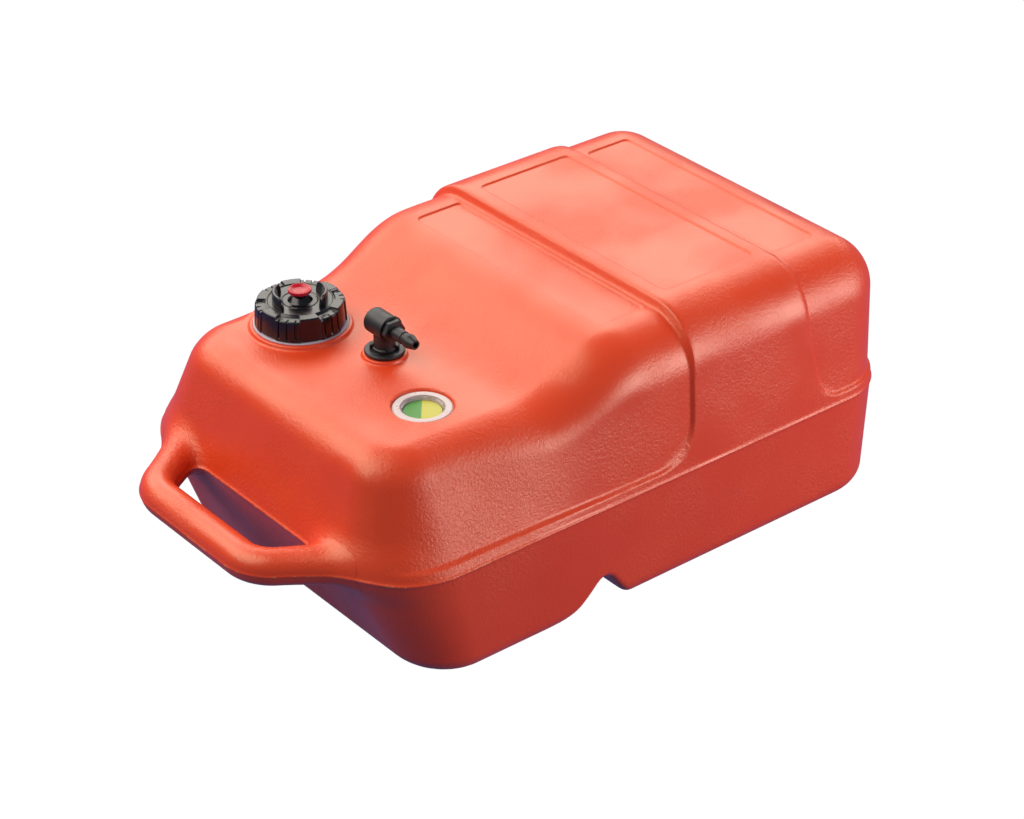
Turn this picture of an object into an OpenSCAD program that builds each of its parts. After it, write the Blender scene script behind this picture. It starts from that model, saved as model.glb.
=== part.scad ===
// Outboard fuel tank: hollow blow-moulded body with a carrying handle, a screw
// filler cap with a vent knob, a swivelling fuel outlet and a float gauge.
// Millimetres. X runs along the tank (handle at -X), Y across it, Z up.
// The origin is on the ground, in the middle of the bounding box.

/* [Body] */
// Body length at the parting line, without the handle
body_len = 602; // [560:1:640]
// Body width at the parting line
body_wid = 397; // [370:1:420]
// Height of the raised middle band
body_hgt = 261; // [255:1:275]
// Height of the low front deck that carries the fittings
deck_z = 213; // [205:1:215]
// Height of the parting line above the ground
part_z = 112; // [105:1:118]
// Thickness of the moulded wall
wall = 4.5; // [3.5:0.5:6]
// Shoulder radius round the high rear part
top_r = 51; // [46:1:58]
// Shoulder radius round the low deck
deck_r = 27; // [24:1:34]
// Radius of the front corners seen from above
plan_r = 73; // [66:1:80]
// Radius of the rear corners seen from above
rear_r = 64.5; // [58:0.5:72]
// Radius round the bottom
foot_r = 18.5; // [14:0.5:24]

/* [Handle] */
// Distance from the front wall to the middle of the grip bar
grip_out = 57; // [54:1:62]
// Thickness of the grip bar
grip_d = 33; // [30:1:35]
// Half of the straight length of the grip bar
grip_half = 58; // [54:1:64]

/* [Fittings on the deck] */
// Distance of the fittings' row from the middle of the body, to the front
row_x = 183; // [180:1:186]
// Distance of the filler and of the gauge from the centre line
row_y = 90; // [88:1:92]
// The outlet stands this much behind the row
outlet_back = 27; // [24:1:32]

/* [Filler] */
// Outer diameter of the filler cap
cap_d = 84.4; // [80:0.2:88]
// Height of the cap's skirt
cap_h = 22.2; // [20:0.2:24]
// Outer diameter of the threaded neck
neck_d = 62; // [58:0.5:64]
// Pitch of the cap's thread
cap_pitch = 6; // [5:0.5:7]
// Turns of thread on the neck and in the cap
cap_turns = 1.15; // [1:0.05:1.2]
// Diameter of the vent knob
knob_d = 21.5; // [19:0.5:24]
// Pitch of the vent knob's thread
vent_pitch = 2; // [1.5:0.25:2.5]

/* [Outlet] */
// Diameter of the outlet's flange
flange_d = 37; // [34:0.5:40]
// Diameter of the elbow's stem
stem_d = 19.6; // [18:0.2:21]
// Diameter of the elbow's barrel
barrel_d = 24; // [22:0.5:26]
// Height of the barrel's axis above the deck
barrel_z = 30; // [28:0.5:33]
// Largest diameter of the hose barb
barb_d = 13.4; // [12:0.2:14]

/* [Gauge] */
// Diameter of the round recess in the deck
recess_d = 55; // [53:0.5:58]
// Depth of the recess
recess_h = 5.5; // [5:0.25:7]
// Diameter of the dial
dial_d = 34; // [30:0.5:36]
// Diameter of the float
float_d = 44; // [38:1:50]
// Twist of the gauge's strip in degrees for each millimetre of height
strip_rate = 1.1; // [0.9:0.05:1.3]

/* [Fits] */
// Radial clearance where a piece turns in another
run_gap = 0.05; // [0.03:0.01:0.1]
// Gap between pieces that move past each other without touching
free_gap = 0.4; // [0.3:0.05:0.6]
// Play left under a seal that is touched by a moving piece
seat_gap = 0.02; // [0.01:0.01:0.05]

/* [Hidden] */
$fn = 96;
half_l = body_len / 2;
half_w = body_wid / 2;
// Depth that the front and the rear of the upper body stand back from the band
step_f = 3.5;
step_r = 3.2;
// The band lies between these two stations, the belt below this height
band_x0 = 40;
band_x1 = 182;
belt_z = part_z + 10;
// Slope between the deck and the high part: foot and steepness
ramp_x = -90;
ramp_k = 0.78;
// Strap channel under the body: where its curved front flank and its straight rear
// flank start, and its height before its top is rounded
chan_x0 = -128;
chan_x1 = -29;
chan_h = 42;
// The bounding box reaches from the grip's front face to the rear wall
bead_h = 1.2;
shift = (grip_out + grip_d / 2 - bead_h) / 2;
cap_x = -row_x;
out_x = -row_x + outlet_back;

// Rounded intersection of two and of three half spaces
function r2(a, b, r) = min(-r, max(a, b)) + norm([max(a + r, 0), max(b + r, 0)]);
function r3(a, b, c, r) = min(-r, max(a, b, c))
    + norm([max(a + r, 0), max(b + r, 0), max(c + r, 0)]);
// Soft minimum and soft step
function smin(a, b, k) = min(a, b) - pow(max(k - abs(a - b), 0), 2) / (4 * k);
function sstep(a, b, x) = let(t = min(max((x - a) / (b - a), 0), 1)) t * t * (3 - 2 * t);

// Height of the unrecessed top above the ground along the body
function top_line(x) =
    let(deck = deck_z + step_f,
        ramp = deck + (x - ramp_x) * ramp_k,
        high = body_hgt - 5.4 * (1 - sstep(band_x0 - 4, band_x0 + 4, x))
            - 2.7 * sstep(band_x1 - 4, band_x1 + 4, x))
    smin(-smin(-deck, -ramp, 30), high, 24);
// How far a point lies inside the front and the rear recessed region
function reg_f(x, z) = r2(x - band_x0, belt_z - z, 40);
function reg_r(x, z) = r2(band_x1 + max(0, 205 - z) * 0.22 - x, belt_z - z, 25);
function recess(x, z) =
    step_f * (1 - sstep(-3, 3, reg_f(x, z))) * sstep(-half_l + 13, -half_l + 51, x)
    + step_r * (1 - sstep(-3, 3, reg_r(x, z)));
// Signed distance to the outer surface of the body, negative inside
function body_f(p) =
    let(x = p[0], y = p[1], z = p[2],
        up = max(z - part_z, 0), dn = max(part_z - z, 0),
        fore = 1 - sstep(-230, 10, x),
        side = abs(y) - half_w + up * (0.06 + 0.36 * fore) + dn * 0.024,
        front = -x - half_l + up * 0.26 + dn * 0.42,
        rear = x - half_l + up * 0.04 + dn * 0.03,
        aft = sstep(0, 150, x),
        corner = plan_r + (rear_r - plan_r) * aft - up * (0.27 * fore + 0.1 * aft)
            - dn * 0.2 * (1 - aft),
        plan = r3(side, front, rear, corner),
        top = r2(plan, z - top_line(x), top_r + (deck_r - top_r) * fore),
        rise = max(x - chan_x0, 0) * 0.0094,
        cut = r3((z - rise * (x - chan_x0)) / norm([1, 2 * rise]),
            (z + (x - chan_x1) * 1.35) / norm([1, 1.35]), z - chan_h, 10),
        solid = r2(top, -z, foot_r))
    -smin(-solid - recess(x, z) + bead(z), cut, 6);
function bead(z) = bead_h * exp(-pow((z - part_z) / 1.6, 2));
// First point of the surface (sunk by t) on the ray from o along d
function hit(o, d, t, lo = 0, hi = 260, n = 24) = n == 0 ? o + d * (lo + hi) / 2
    : let(m = (lo + hi) / 2) body_f(o + d * m) + t > 0
        ? hit(o, d, t, lo, m, n - 1) : hit(o, d, t, m, hi, n - 1);
function snap(p) = [for (v = p) round(v * 1000) / 1000];

// The body is measured from a box inside it: upwards, downwards and outwards
core_x = [-215, 225];
core_y = 118;
core_z = 45;
function core_top(x) = 130 + 52 * sstep(-110, 10, x);
// Stations along and across the box, and heights of the rings round the walls
xs_out = [-215, -183, -150, -129, -115, -103, -92, -82, -74, -67, -61, -55, -48, -40, -33, -27,
    -17, -4, 9, 22, 36, 40, 44, 80, 130, 178, 182, 186, 205, 225];
xs_in = [-215, -165, -133, -112, -94, -79, -69, -60, -50, -38, -22, -6, 22, 60, 125, 182, 225];
ys_out = [-118, -60, 0, 60, 118];
ys_in = [-118, 0, 118];
zs_out = [45, 75, 104, 111, 112, 113, 118.5, 122, 125.5];
zs_in = [45, 80, 112, 122];
low_out = [62, 39, 34, 29, 24, 21, 18, 15.5, 13, 11, 9, 6.5];
low_in = [62, 36, 28, 20, 9];
high_out = [14, 28, 42, 56, 70, 80];
high_in = [18, 42, 66];

// One entry per column round the box: [x, y, direction, station of the flat patch]
function columns(xs, ys) =
    let(nx = len(xs), ny = len(ys), x0 = xs[0], x1 = xs[nx - 1], y0 = ys[0], y1 = ys[ny - 1])
    concat(
        [for (i = [0:nx - 1]) [xs[i], y0, 270, i * ny]],
        [for (a = [292.5, 315, 337.5]) [x1, y0, a, (nx - 1) * ny]],
        [for (j = [0:ny - 1]) [x1, ys[j], 0, (nx - 1) * ny + j]],
        [for (a = [22.5, 45, 67.5]) [x1, y1, a, nx * ny - 1]],
        [for (i = [nx - 1:-1:0]) [xs[i], y1, 90, i * ny + ny - 1]],
        [for (a = [112.5, 135, 157.5]) [x0, y1, a, ny - 1]],
        [for (j = [ny - 1:-1:0]) [x0, ys[j], 180, j]],
        [for (a = [202.5, 225, 247.5]) [x0, y0, a, 0]]);

// Closed surface of the body, sunk by t
module body_skin(xs, ys, zs, low, high, t) {
    nx = len(xs);
    ny = len(ys);
    np = nx * ny;
    cols = columns(xs, ys);
    n = len(cols);
    rings = len(low) + len(zs) + 2 + len(high);
    base = [for (x = xs, y = ys) snap(hit([x, y, core_z], [0, 0, -1], t))];
    lid = [for (x = xs, y = ys) snap(hit([x, y, core_top(x)], [0, 0, 1], t))];
    wall_z = [for (c = cols) concat(zs, [for (f = [0.5, 1]) let(z0 = zs[len(zs) - 1])
        z0 + f * (core_top(c[0]) - z0)])];
    side = concat(
        [for (e = low, c = cols) snap(hit([c[0], c[1], core_z],
            [cos(c[2]) * cos(e), sin(c[2]) * cos(e), -sin(e)], t))],
        [for (k = [0:len(zs) + 1], m = [0:n - 1]) snap(hit([cols[m][0], cols[m][1], wall_z[m][k]],
            [cos(cols[m][2]), sin(cols[m][2]), 0], t))],
        [for (e = high, c = cols) snap(hit([c[0], c[1], core_top(c[0])],
            [cos(c[2]) * cos(e), sin(c[2]) * cos(e), sin(e)], t))]);
    last = np + rings * n;
    top_row = np + (rings - 1) * n;
    flats = [for (i = [0:nx - 2], j = [0:ny - 2]) let(a = i * ny + j) each
        [[a, a + 1, a + ny], [a + 1, a + ny + 1, a + ny],
         [last + a, last + a + ny, last + a + 1],
         [last + a + 1, last + a + ny, last + a + ny + 1]]];
    hem = [for (m = [0:n - 1]) let(q = (m + 1) % n, a = cols[m][3], b = cols[q][3]) each concat(
        [[np + m, np + q, a]], a == b ? [] : [[np + q, b, a]],
        [[top_row + m, last + a, top_row + q]],
        a == b ? [] : [[last + a, last + b, top_row + q]])];
    sides = [for (k = [0:rings - 2], m = [0:n - 1])
        let(q = (m + 1) % n, a = np + k * n + m, b = np + k * n + q, c = a + n, d = b + n)
        each [[a, c, b], [b, c, d]]];
    polyhedron(points = concat(base, side, lid), faces = concat(flats, hem, sides));
}

// Centre line of the handle: [x, y, half width, half height] at each station
function grip_path() =
    let(x0 = -half_l - grip_out, r = grip_d / 2, bend = 37, ang = 56,
        cy = grip_half, ex = x0 + bend * (1 - cos(ang)), ey = cy + bend * sin(ang))
    concat(
        [for (f = [1:-0.25:0.25]) [ex + f * 74 * sin(ang), ey + f * 74 * cos(ang), r + 7 * f * f,
            r + 3 * f * f]],
        [for (a = [ang:-14:0]) [x0 + bend * (1 - cos(a)), cy + bend * sin(a), r, r]]);
function mirrored(path) = concat(path, [for (i = [len(path) - 1:-1:0])
    [path[i][0], -path[i][1], path[i][2], path[i][3]]]);
module grip() {
    path = mirrored(grip_path());
    n = len(path);
    k = 14;
    pts = [for (i = [0:n - 1]) let(
        p = path[i], a = path[max(i - 1, 0)], b = path[min(i + 1, n - 1)],
        t = atan2(b[1] - a[1], b[0] - a[0]))
        each [for (j = [0:k - 1]) let(u = 360 * (j + 0.5) / k)
            [p[0] - sin(t) * p[2] * cos(u), p[1] + cos(t) * p[2] * cos(u), part_z + p[3] * sin(u)]]];
    ends = [[for (j = [0:k - 1]) j], [for (j = [k - 1:-1:0]) (n - 1) * k + j]];
    tube = [for (i = [0:n - 2], j = [0:k - 1])
        let(q = (j + 1) % k, a = i * k + j, b = i * k + q) each
        [[a, a + k, b], [b, a + k, b + k]]];
    polyhedron(points = pts, faces = concat(ends, tube));
}

// Helical ridge: radius and width at its root and at its crest
module ridge(r_root, r_crest, w_root, w_crest, pitch, turns, z0) {
    n = ceil(turns * 30);
    up = r_crest > r_root ? 1 : -1;
    pts = [for (i = [0:n]) let(a = 360 * turns * i / n, z = z0 + pitch * turns * i / n) each
        [for (q = [[r_root, -w_root], [r_crest, -w_crest], [r_crest, w_crest], [r_root, w_root]])
            [q[0] * cos(a), q[0] * sin(a), z + up * q[1] / 2]]];
    tube = [for (i = [0:n - 1], j = [0:3]) let(q = (j + 1) % 4, a = 4 * i + j, b = 4 * i + q) each
        [[a, b, a + 4], [b, b + 4, a + 4]]];
    polyhedron(points = pts, faces = concat([[3, 2, 1, 0]], [[4 * n, 4 * n + 1, 4 * n + 2, 4 * n + 3]],
        tube));
}
// Flat strip of width w and thickness t, twisted by rate degrees per millimetre
module twisted_strip(w, t, z0, z1, rate, z_ref) {
    n = 50;
    pts = [for (i = [0:n]) let(z = z0 + (z1 - z0) * i / n, a = rate * (z - z_ref)) each
        [for (q = [[-w, -t], [w, -t], [w, t], [-w, t]] / 2)
            [q[0] * cos(a) - q[1] * sin(a), q[0] * sin(a) + q[1] * cos(a), z]]];
    tube = [for (i = [0:n - 1], j = [0:3]) let(q = (j + 1) % 4, a = 4 * i + j, b = 4 * i + q) each
        [[a, a + 4, b], [b, a + 4, b + 4]]];
    polyhedron(points = pts, faces = concat([[0, 1, 2, 3]], [[4 * n + 3, 4 * n + 2, 4 * n + 1, 4 * n]],
        tube));
}
module ring(ro, ri, z0, z1) {
    translate([0, 0, z0]) difference() {
        cylinder(r = ro, h = z1 - z0);
        translate([0, 0, -1]) cylinder(r = ri, h = z1 - z0 + 2);
    }
}
// Round solid from a list of [radius, height] corners
module turned(corners) {
    rotate_extrude() polygon(corners);
}
// Cylinder along Y between two stations at the barrel's height
module along_y(r, y0, y1) {
    translate([0, y1, barrel_h]) rotate([90, 0, 0]) cylinder(r = r, h = y1 - y0);
}
module at_cap() {
    translate([shift - row_x, row_y, 0]) children();
}
module at_outlet() {
    translate([shift - row_x + outlet_back, 0, 0]) children();
}
module at_gauge() {
    translate([shift - row_x, -row_y, 0]) children();
}

// Filler heights
collar_h = 4;
collar_z = deck_z + collar_h;
collar_r = 47;
neck_r = neck_d / 2;
neck_bore = neck_r - 4;
spigot_r = neck_r + 4;
rim_h = 0.9;
rim_z = collar_z + rim_h;
neck_top = collar_z + 14.5;
crest = 2;
cap_r = cap_d / 2;
cap_bore = neck_r + crest + 1;
skirt_z = rim_z + 0.6;
cap_top = skirt_z + cap_h;
cap_draft = 1.6;
top_r0 = cap_r - cap_draft - 8;
seal_h = 2;
roof_z = neck_top + seal_h + 2 * seat_gap;
thread_z = rim_z + 3.6;
// Vent: a cone on the cap carries the knob
stem_r = 3;
cone_z = cap_top + 4.3;
stem_z = roof_z - 7;
washer_h = 1.2;
knob_z = cone_z + washer_h + 2 * seat_gap;
knob_r = knob_d / 2;
// Outlet heights
boss_h = 3.3;
boss_z = deck_z + boss_h;
boss_r = flange_d / 2 + 2.3;
pad_h = 0.8;
flange_z = boss_z + pad_h;
flange_top = flange_z + 3;
barrel_h = deck_z + barrel_z;
post_r = 11.5;
journal_r = 6.5;
passage_r = 3;
tube_r = 4.5;
tube_top = flange_top - 17;
elbow_z = flange_top + free_gap;
socket_r = 6;
lip_y = -10.3;
nut_y = lip_y - 1;
barb_r = barb_d / 2;
// Gauge heights
recess_z = deck_z - recess_h;
seat_z = recess_z + 1;
cup_r = 20.3;
cup_z = recess_z - 8.5;
guide_z = cup_z - 2;
foot_z = 10;
rod_y = 14;
strip_z = 16;
strip_top = guide_z - 1;
float_h = 26;
float_z = 104.5;

module tank_shell() color([0.86, 0.24, 0.12]) {
    difference() {
        union() {
            translate([shift, 0, 0]) difference() {
                union() {
                    body_skin(xs_out, ys_out, zs_out, low_out, high_out, 0);
                    grip();
                }
                body_skin(xs_in, ys_in, zs_in, low_in, high_in, wall);
            }
            at_cap() translate([0, 0, deck_z - 2]) cylinder(r1 = collar_r, r2 = collar_r - 2,
                h = collar_h + 2);
            at_outlet() translate([0, 0, deck_z - 2]) cylinder(r = boss_r, h = boss_h + 2);
            at_gauge() translate([0, 0, recess_z - wall]) cylinder(r = recess_d / 2 + wall,
                h = recess_h + wall - 1);
        }
        at_cap() translate([0, 0, deck_z - 20]) cylinder(r = spigot_r, h = 40);
        at_outlet() translate([0, 0, deck_z - 20]) cylinder(r = post_r, h = 40);
        at_gauge() translate([0, 0, deck_z - 20]) cylinder(r = cup_r + 0.2, h = 40);
        at_gauge() translate([0, 0, recess_z]) cylinder(r = recess_d / 2, h = 20);
    }
}

module filler_neck() color([0.82, 0.80, 0.76]) at_cap() {
    turned([[neck_bore, collar_z - 13], [spigot_r, collar_z - 13], [spigot_r, collar_z],
        [cap_r + 1.2, collar_z], [cap_r + 1.2, rim_z], [neck_r, rim_z], [neck_r, neck_top],
        [neck_bore, neck_top]]);
    ridge(neck_r - 0.5, neck_r + crest, 3.2, 1.4, cap_pitch, cap_turns, thread_z);
}

module filler_cap() color([0.05, 0.05, 0.06]) at_cap() {
    difference() {
        union() {
            turned([[0, stem_z + 2], [10, stem_z + 2], [10, roof_z], [cap_bore, roof_z],
                [cap_bore, skirt_z], [cap_r - 1, skirt_z], [cap_r - cap_draft - 1, cap_top - 1.5],
                [cap_r - cap_draft - 2.5, cap_top], [top_r0 + 1, cap_top],
                [top_r0, cap_top - 0.8], [11.3, cap_top - 0.8], [6.8, cone_z], [0, cone_z]]);
            for (k = [0:5]) rotate([0, 0, 37.4 + 60 * k - 17]) rotate_extrude(angle = 34)
                polygon([[cap_r - 5, skirt_z + 1], [cap_r, skirt_z + 1],
                    [cap_r - cap_draft, cap_top - 2.2], [cap_r - cap_draft - 0.8, cap_top - 1.6],
                    [cap_r - 5, cap_top - 1.6]]);
            for (a = [149.5, -30.5]) rotate([0, 0, a - 46]) rotate_extrude(angle = 92)
                polygon([[21.4, cap_top - 2], [25.8, cap_top - 2], [25, cap_top + 9],
                    [22.6, cap_top + 9]]);
        }
        for (k = [0:5]) rotate([0, 0, 37.4 + 60 * k - 17]) translate([0, 0, cap_top - 1.6])
            rotate_extrude(angle = 34) translate([top_r0 - 2, 0]) square([20, 5]);
        for (k = [0:5], a = [-11, 0, 11]) rotate([0, 0, 37.4 + 60 * k + a])
            translate([cap_r - cap_draft - 1.6, -0.8, skirt_z - 1]) cube([5, 1.6, cap_h + 3]);
        translate([0, 0, stem_z]) cylinder(r = stem_r + run_gap, h = 30);
    }
    ridge(cap_bore + 0.4, neck_r + 0.6, 2, 1, cap_pitch, cap_turns, thread_z - 2.2);
}

module cap_gasket() color([0.12, 0.12, 0.12]) at_cap()
    ring(neck_r + crest - 0.5, neck_bore + 0.5, neck_top + seat_gap, neck_top + seat_gap + seal_h);

module vent_knob() color([0.80, 0.06, 0.14]) at_cap()
    turned([[0, stem_z], [stem_r - 0.6, stem_z], [stem_r, stem_z + 1], [stem_r, knob_z],
        [6.4, knob_z], [6.4, knob_z + 0.8], [knob_r - 0.6, knob_z + 2.2],
        [knob_r, knob_z + 2.8], [knob_r, knob_z + 4.8], [knob_r - 0.8, knob_z + 5.4],
        [knob_r - 2.4, knob_z + 4.6], [4, knob_z + 3.4], [0, knob_z + 3.2]]);

module vent_washer() color([0.12, 0.12, 0.12]) at_cap()
    ring(6, stem_r + free_gap, cone_z + seat_gap, cone_z + seat_gap + washer_h);

module outlet_base() color([0.05, 0.05, 0.06]) at_outlet() {
    difference() {
        union() {
            turned([[0, tube_top - 7], [post_r, tube_top - 7], [post_r, flange_z],
                [flange_d / 2, flange_z], [flange_d / 2, flange_top - 0.8],
                [flange_d / 2 - 0.8, flange_top], [0, flange_top]]);
            for (k = [0:3]) rotate([0, 0, 90 * k + 32]) rotate_extrude(angle = 26)
                polygon([[11.5, flange_top - 1], [13.5, flange_top - 1], [13.5, flange_top + 3.2],
                    [12.5, flange_top + 4.2], [10.3, flange_top + 4.2], [10.3, flange_top + 2.6],
                    [11.5, flange_top + 2.6]]);
        }
        translate([0, 0, flange_top - 14]) cylinder(r = journal_r + run_gap, h = 30);
        translate([0, 0, tube_top - 8]) cylinder(r = passage_r, h = 30);
        translate([0, 0, tube_top - 8]) cylinder(r = tube_r, h = 8);
    }
}

module outlet_gasket() color([0.12, 0.12, 0.12]) at_outlet()
    ring(flange_d / 2 - 1, post_r, boss_z, flange_z);

module outlet_elbow() color([0.06, 0.06, 0.07]) at_outlet() difference() {
    union() {
        turned([[0, flange_top - 13], [journal_r - 0.5, flange_top - 13],
            [journal_r, flange_top - 12.5], [journal_r, flange_top - 9],
            [journal_r - 1.6, flange_top - 9], [journal_r - 1.6, flange_top - 6.8],
            [journal_r, flange_top - 6.8], [journal_r, elbow_z], [11.1, elbow_z],
            [11.1, elbow_z + 1.6], [stem_d / 2, elbow_z + 1.8], [stem_d / 2, barrel_h],
            [0, barrel_h]]);
        along_y(barrel_d / 2, lip_y, 15);
        along_y(barrel_d / 2 - 1.2, 14, 16);
        along_y(barrel_d / 2 + 0.6, lip_y, lip_y + 2.2);
    }
    translate([0, 0, flange_top - 14]) cylinder(r = passage_r, h = barrel_h - flange_top + 14);
    along_y(passage_r, lip_y - 1, 3);
    along_y(socket_r, lip_y - 1, -1);
}

module elbow_oring() color([0.12, 0.12, 0.12]) at_outlet()
    translate([0, 0, flange_top - 7.9]) rotate_extrude() translate([journal_r - 0.8, 0])
        circle(r = 0.8);

module hose_nipple() color([0.06, 0.06, 0.07]) at_outlet() difference() {
    union() {
        along_y(socket_r, nut_y - 1, -2);
        translate([0, nut_y, barrel_h]) rotate([90, 0, 0]) cylinder(r = 11.5, h = 5.2, $fn = 6);
        along_y(6.2, -30, nut_y - 1);
        along_y(5.4, -36, -29);
        translate([0, -34.6, barrel_h]) rotate([90, 0, 0])
            turned([[0, 0], [5, 0], [barb_r, 0.4], [barb_r, 2.9], [4.6, 11], [4.2, 11.4], [0, 11.4]]);
    }
    along_y(2.7, -50, 0);
}

module nipple_washer() color([0.12, 0.12, 0.12]) at_outlet() difference() {
    along_y(9.4, nut_y, lip_y);
    along_y(socket_r, nut_y - 1, lip_y + 1);
}

module pickup_tube() color([0.9, 0.9, 0.88]) at_outlet() ring(tube_r, tube_r - 1.3, 14, tube_top);

module pickup_filter() color([0.15, 0.15, 0.16]) at_outlet() difference() {
    turned([[0, 7], [7.4, 7], [8, 7.6], [8, 25], [7, 26], [0, 26]]);
    translate([0, 0, 14]) cylinder(r = tube_r, h = 20);
    translate([0, 0, 9]) cylinder(r = tube_r - 1.3, h = 10);
    for (a = [0, 45, 90, 135]) rotate([0, 0, a]) translate([-10, -0.8, 9]) cube([20, 1.6, 4]);
}

module gauge_housing() color([0.9, 0.88, 0.84, 0.8]) at_gauge() difference() {
    turned([[0, cup_z], [cup_r, cup_z], [cup_r, seat_z], [recess_d / 2 - free_gap, seat_z],
        [recess_d / 2 - free_gap, seat_z + 1.6], [recess_d / 2 - 2, seat_z + 2.8],
        [0, seat_z + 2.8]]);
    translate([0, 0, cup_z + 2]) cylinder(r = 18, h = 20);
    translate([0, 0, seat_z + 1]) cylinder(r = 20, h = 20);
    translate([0, 0, cup_z - 1]) cylinder(r = 1.5 + run_gap, h = 20);
}

module gauge_lens() color([0.95, 0.95, 0.95, 0.35]) at_gauge() turned([[0, seat_z + 1],
    [20, seat_z + 1], [20, seat_z + 2.8], [18.6, seat_z + 3.4], [12, seat_z + 3.9],
    [0, seat_z + 4.2]]);

module gauge_dial() color([0.45, 0.65, 0.2]) at_gauge() difference() {
    turned([[0, cup_z + 2.3], [3, cup_z + 2.3], [3, seat_z - 2.4], [dial_d / 2, seat_z - 2.4],
        [dial_d / 2, seat_z - 1], [0, seat_z - 1]]);
    translate([0, 0, cup_z]) cylinder(r = 1.5, h = 8);
}

module gauge_gasket() color([0.12, 0.12, 0.12]) at_gauge()
    ring(recess_d / 2 - 1.5, cup_r, recess_z, seat_z);

module gauge_stem() color([0.75, 0.72, 0.55]) at_gauge() {
    twisted_strip(7, 1.2, strip_z, strip_top, strip_rate, float_z);
    translate([0, 0, foot_z - 2]) cylinder(r = 1.5, h = strip_z - foot_z + 3);
    translate([0, 0, strip_top - 1]) cylinder(r = 1.5, h = cup_z + 8 - strip_top + 1);
}

module gauge_guide() color([0.15, 0.15, 0.16]) at_gauge() {
    difference() {
        union() {
            translate([0, 0, guide_z]) cylinder(r = 17, h = 2);
            translate([0, 0, foot_z]) cylinder(r = 17, h = 2);
            for (s = [-1, 1]) translate([0, s * rod_y, foot_z + 1]) cylinder(r = 1.5,
                h = guide_z - foot_z);
        }
        translate([0, 0, guide_z - 1]) cylinder(r = 2, h = 4);
        translate([0, 0, foot_z - 1]) cylinder(r = 1.5 + run_gap, h = 4);
    }
}

module float_body() color([0.1, 0.1, 0.1]) at_gauge() difference() {
    translate([0, 0, float_z - float_h / 2]) turned([[0, 0], [float_d / 2 - 2, 0],
        [float_d / 2, 2], [float_d / 2, float_h - 2], [float_d / 2 - 2, float_h], [0, float_h]]);
    translate([0, 0, float_z + 0.6]) cylinder(r = 4.2, h = 20);
    translate([0, 0, float_z - 20.6]) cylinder(r = 4.2, h = 20);
    translate([-3.9, -1.1, float_z - 5]) cube([7.8, 2.2, 10]);
    for (s = [-1, 1]) translate([0, s * rod_y, float_z - 20]) cylinder(r = 1.5 + free_gap, h = 40);
}

tank_shell();
filler_neck();
filler_cap();
cap_gasket();
vent_knob();
vent_washer();
outlet_base();
outlet_gasket();
outlet_elbow();
elbow_oring();
hose_nipple();
nipple_washer();
pickup_tube();
pickup_filter();
gauge_housing();
gauge_lens();
gauge_dial();
gauge_gasket();
gauge_stem();
gauge_guide();
float_body();
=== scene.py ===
"""Outboard fuel tank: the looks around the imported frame.

Lengths in the shape functions are millimetres, and `piece` turns them into metres.
X runs along the tank (handle at -X), Y across it, Z up from the ground.
"""
import math

import bmesh
import bpy
import numpy as np
from mathutils import Matrix


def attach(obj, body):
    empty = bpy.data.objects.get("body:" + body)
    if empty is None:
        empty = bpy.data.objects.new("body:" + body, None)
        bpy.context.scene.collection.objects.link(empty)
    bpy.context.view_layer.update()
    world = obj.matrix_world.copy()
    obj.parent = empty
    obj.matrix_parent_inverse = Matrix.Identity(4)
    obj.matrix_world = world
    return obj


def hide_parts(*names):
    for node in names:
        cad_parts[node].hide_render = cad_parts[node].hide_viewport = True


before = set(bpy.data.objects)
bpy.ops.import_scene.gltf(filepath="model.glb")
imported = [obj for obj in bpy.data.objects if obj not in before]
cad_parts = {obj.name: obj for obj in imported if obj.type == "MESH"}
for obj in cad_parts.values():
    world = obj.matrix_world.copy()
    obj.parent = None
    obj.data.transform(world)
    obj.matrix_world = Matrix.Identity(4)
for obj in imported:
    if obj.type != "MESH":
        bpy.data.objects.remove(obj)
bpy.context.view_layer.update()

MM = 0.001
TAU = 2 * math.pi
# the body's middle lies SHIFT along X in the frame, and its parting line PART_Z up
SHIFT, PART_Z = 36.15, 112.0
# where the fittings stand on the deck
ROW_X, ROW_Y = SHIFT - 183, 90.0
CAP, OUTLET, GAUGE = (ROW_X, ROW_Y), (SHIFT - 156, 0.0), (ROW_X, -ROW_Y)

# ---------------------------------------------------------------- camera
# The photograph's view: 39 degrees round from the long side, 31 degrees up.
AZIMUTH, ELEVATION, LENS = -39.15, 31.07, 101.25
DISTANCE, ACROSS, ALONG_UP = 2749.1, -7.812, 69.363
VIEW_CENTRE = np.array([SHIFT, 0.0, 15.75])


def facing(right, up, back, spot):
    """Matrix of something that stands at `spot`, in metres, and looks away from `back`."""
    turn = Matrix([[*right, 0], [*up, 0], [*back, 0], [0, 0, 0, 1]]).transposed()
    return Matrix.Translation(list(spot)) @ turn


def place_camera():
    """Camera axes from azimuth and elevation; it stands DISTANCE back from the aimed point."""
    a, e = math.radians(AZIMUTH), math.radians(ELEVATION)
    right = np.array([math.cos(a), math.sin(a), 0.0])
    back = np.array([math.sin(a) * math.cos(e), -math.cos(a) * math.cos(e), math.sin(e)])
    up = np.cross(back, right)
    spot = VIEW_CENTRE + right * ACROSS + up * ALONG_UP + back * DISTANCE
    data = bpy.data.cameras.new("camera")
    data.lens, data.sensor_width, data.clip_end = LENS, 36.0, 50.0
    camera = bpy.data.objects.new("camera", data)
    bpy.context.scene.collection.objects.link(camera)
    camera.matrix_world = facing(right, up, back, spot * MM)
    bpy.context.scene.camera = camera


place_camera()

# ---------------------------------------------------------------- materials


def colour(code):
    """sRGB hex to the linear values that Blender's sockets take."""
    parts = [int(code[i:i + 2], 16) / 255 for i in (1, 3, 5)]
    return [c / 12.92 if c <= 0.04045 else ((c + 0.055) / 1.055) ** 2.4 for c in parts] + [1.0]


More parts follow.
